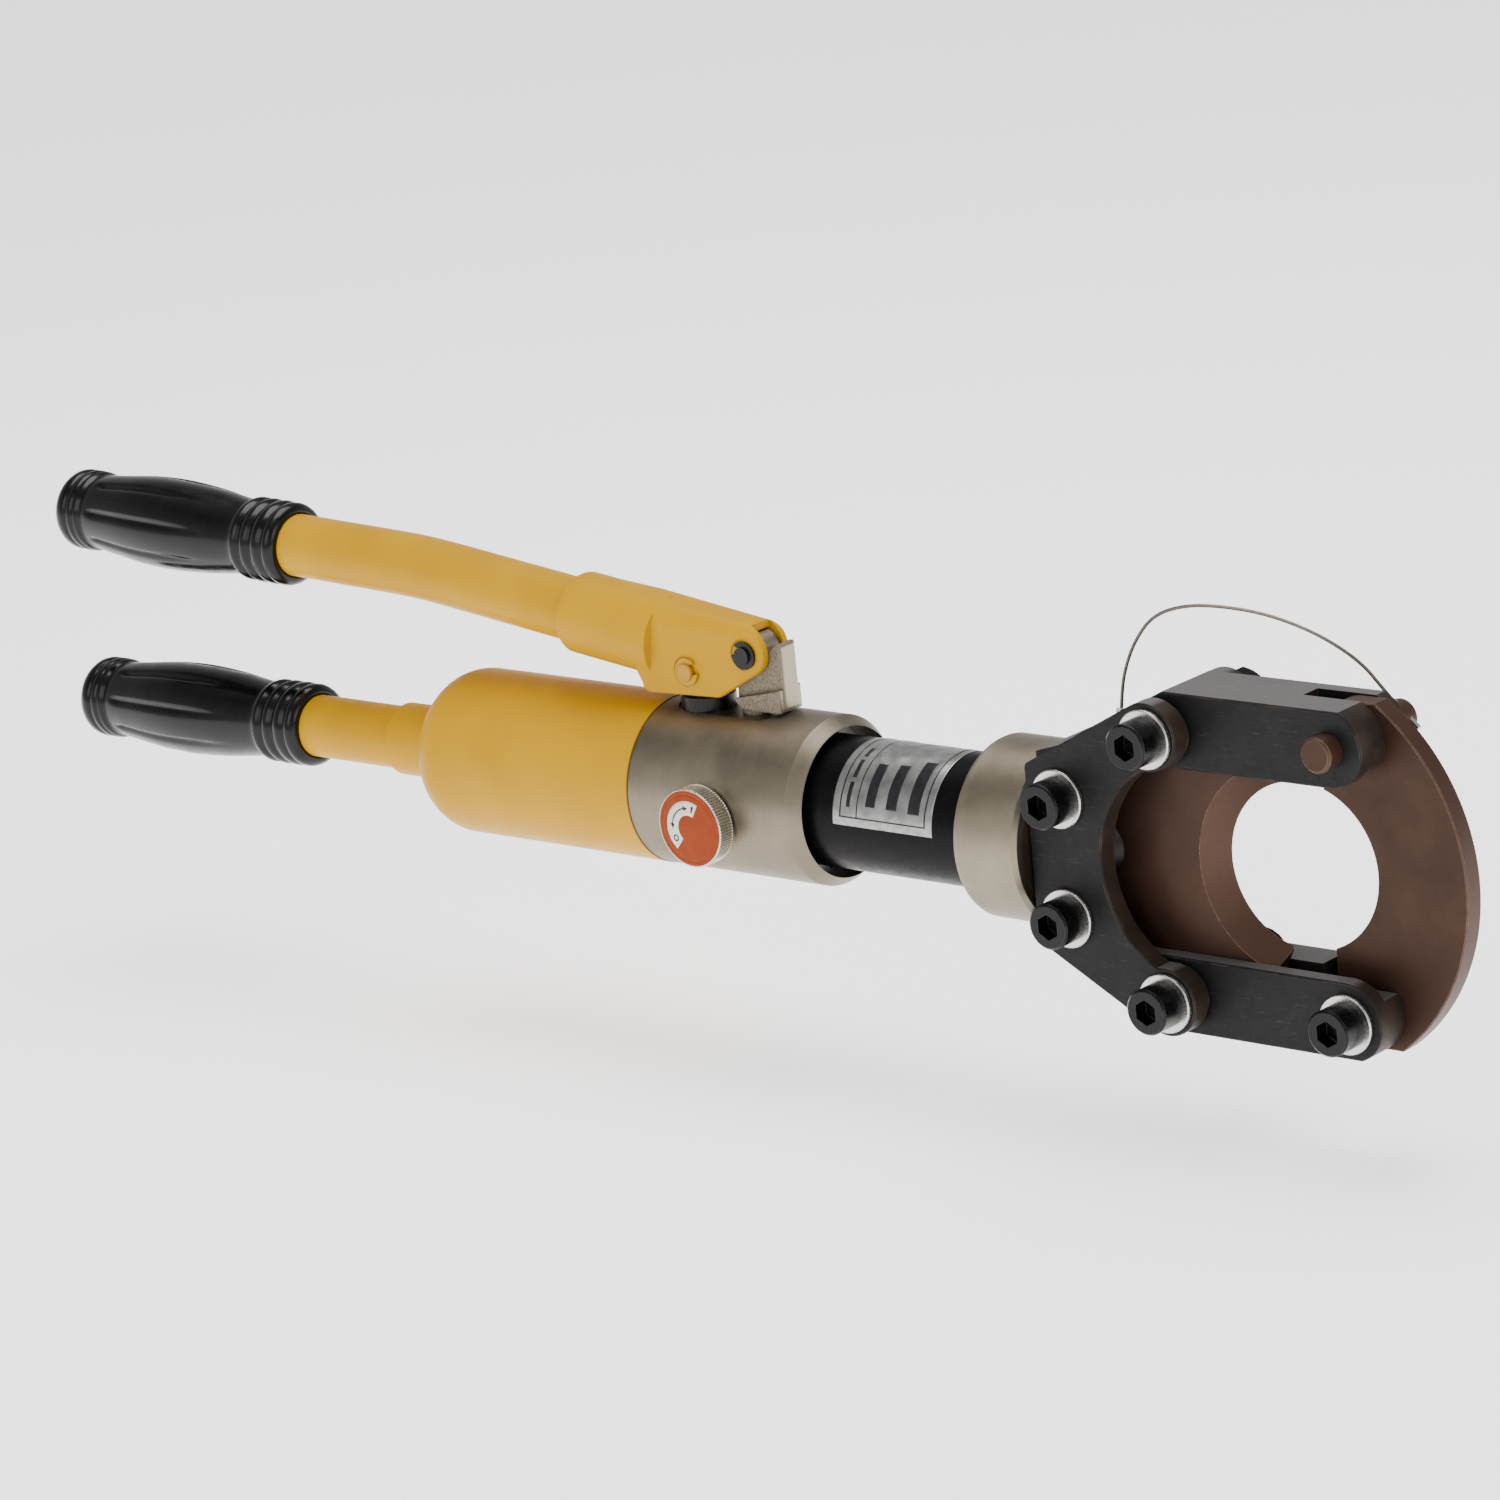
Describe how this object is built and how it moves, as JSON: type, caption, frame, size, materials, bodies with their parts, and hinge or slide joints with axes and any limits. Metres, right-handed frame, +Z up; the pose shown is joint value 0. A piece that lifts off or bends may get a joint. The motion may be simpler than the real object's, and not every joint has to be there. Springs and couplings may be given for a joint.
{
  "type": "rescue cutter",
  "caption": "Hand-pumped hydraulic cutter with two long grips, oil reservoir, cylinder and a round guillotine head with sliding blade, hinged hook blade and lock pin.",
  "frame": {"origin": "on the tool's axis, in the middle of the bare stretch of hydraulic cylinder between pump body and head collar", "axes": "+X along the axis towards the cutting head, +Z up in the plane of the two handles, +Y away from the release knob"},
  "size_m": [0.6406, 0.0747, 0.1513],
  "materials": {
    "yellow_paint": "satin yellow paint",
    "nickel_casting": "satin nickel plated, bright turned edges",
    "black_paint": "gloss black",
    "black_oxide": "black oxide",
    "blade_steel": "brown temper, ground edges",
    "bright_steel": "satin zinc",
    "hidden_steel": "plain",
    "brass_parts": "plain",
    "grip_rubber": "glossy black",
    "oil_rubber": "matt black",
    "knob_paint": "orange-red with white arrow",
    "label_film": "silver-white film with black bars"
  },
  "bodies": {
    "pump": {"reservoir_shell": "yellow_paint", "handle_tube": "yellow_paint", "handle_grip": "grip_rubber", "oil_bladder": "oil_rubber", "bladder_clamp": "hidden_steel", "reservoir_seal": "oil_rubber", "pump_body": "nickel_casting", "suction_filter": "brass_parts", "inlet_ball": "hidden_steel", "inlet_spring": "hidden_steel", "outlet_ball": "hidden_steel", "outlet_spring": "hidden_steel", "relief_ball": "hidden_steel", "relief_spring": "hidden_steel", "relief_screw": "hidden_steel", "fulcrum_block": "nickel_casting", "plunger_gland": "black_paint", "plunger_seal": "oil_rubber", "swivel_ring": "hidden_steel"},
    "head": {"cylinder_tube": "black_paint", "swivel_seal": "oil_rubber", "cylinder_label": "label_film", "head_collar": "nickel_casting", "head_block": "black_paint", "rod_wiper": "oil_rubber", "front_plate": "black_paint", "rear_plate": "black_paint", "upper_arm": "black_paint", "lower_arm": "black_paint", "frame_bolts": "black_oxide", "hinge_bolt": "black_oxide", "head_washers": "bright_steel", "head_nuts": "black_oxide", "lanyard_anchor": "bright_steel", "lanyard_wire": "bright_steel"},
    "ram": {"piston": "hidden_steel", "piston_nut": "hidden_steel", "piston_seal": "oil_rubber", "ram_rod": "bright_steel", "blade_pin": "hidden_steel", "moving_blade": "blade_steel", "return_spring": "hidden_steel"},
    "hook": {"hook_blade": "blade_steel", "hinge_bush": "brass_parts"},
    "lock_pin": {"lock_pin": "blade_steel", "lanyard_ferrule": "bright_steel"},
    "lever": {"lever_bracket": "yellow_paint", "lever_tube": "yellow_paint", "lever_grip": "grip_rubber", "fulcrum_pin": "bright_steel", "link_pin": "bright_steel", "lever_clips": "black_oxide"},
    "plunger": {"pump_plunger": "bright_steel"},
    "knob": {"release_knob": "nickel_casting", "knob_disc": "knob_paint", "release_stem": "hidden_steel", "release_seal": "oil_rubber"}
  },
  "joints": [
    {"name": "head_swivel", "type": "hinge", "parent": "pump", "child": "head", "pos_m": [0, 0, 0], "axis": [1, 0, 0], "range_deg": [-90, 90]},
    {"name": "ram_slide", "type": "slide", "parent": "head", "child": "ram", "axis": [1, 0, 0], "range_m": [0, 0.058], "stiffness_N_per_m": 1500, "springref_m": -0.02, "deforming": ["return_spring"]},
    {"name": "hook_hinge", "type": "hinge", "parent": "head", "child": "hook", "pos_m": [0.1809, 0, -0.0468], "axis": [0, 1, 0], "range_deg": [0, 95]},
    {"name": "lock_pin_pull", "type": "slide", "parent": "head", "child": "lock_pin", "axis": [0, 1, 0], "range_m": [0, 0.03]},
    {"name": "lever_hinge", "type": "hinge", "parent": "pump", "child": "lever", "pos_m": [-0.071, 0, 0.0518], "axis": [0, 1, 0], "range_deg": [0, 40]},
    {"name": "plunger_slide", "type": "slide", "parent": "pump", "child": "plunger", "axis": [0, 0, 1], "range_m": [0, 0.0186]},
    {"name": "release_turn", "type": "hinge", "parent": "pump", "child": "knob", "pos_m": [-0.0778, 0, -0.004], "axis": [0, -1, 0], "range_deg": [0, 90]}
  ],
  "couplings": [
    {"joint": "plunger_slide", "follows": "lever_hinge", "m_per_rad": 0.02645}
  ]
}
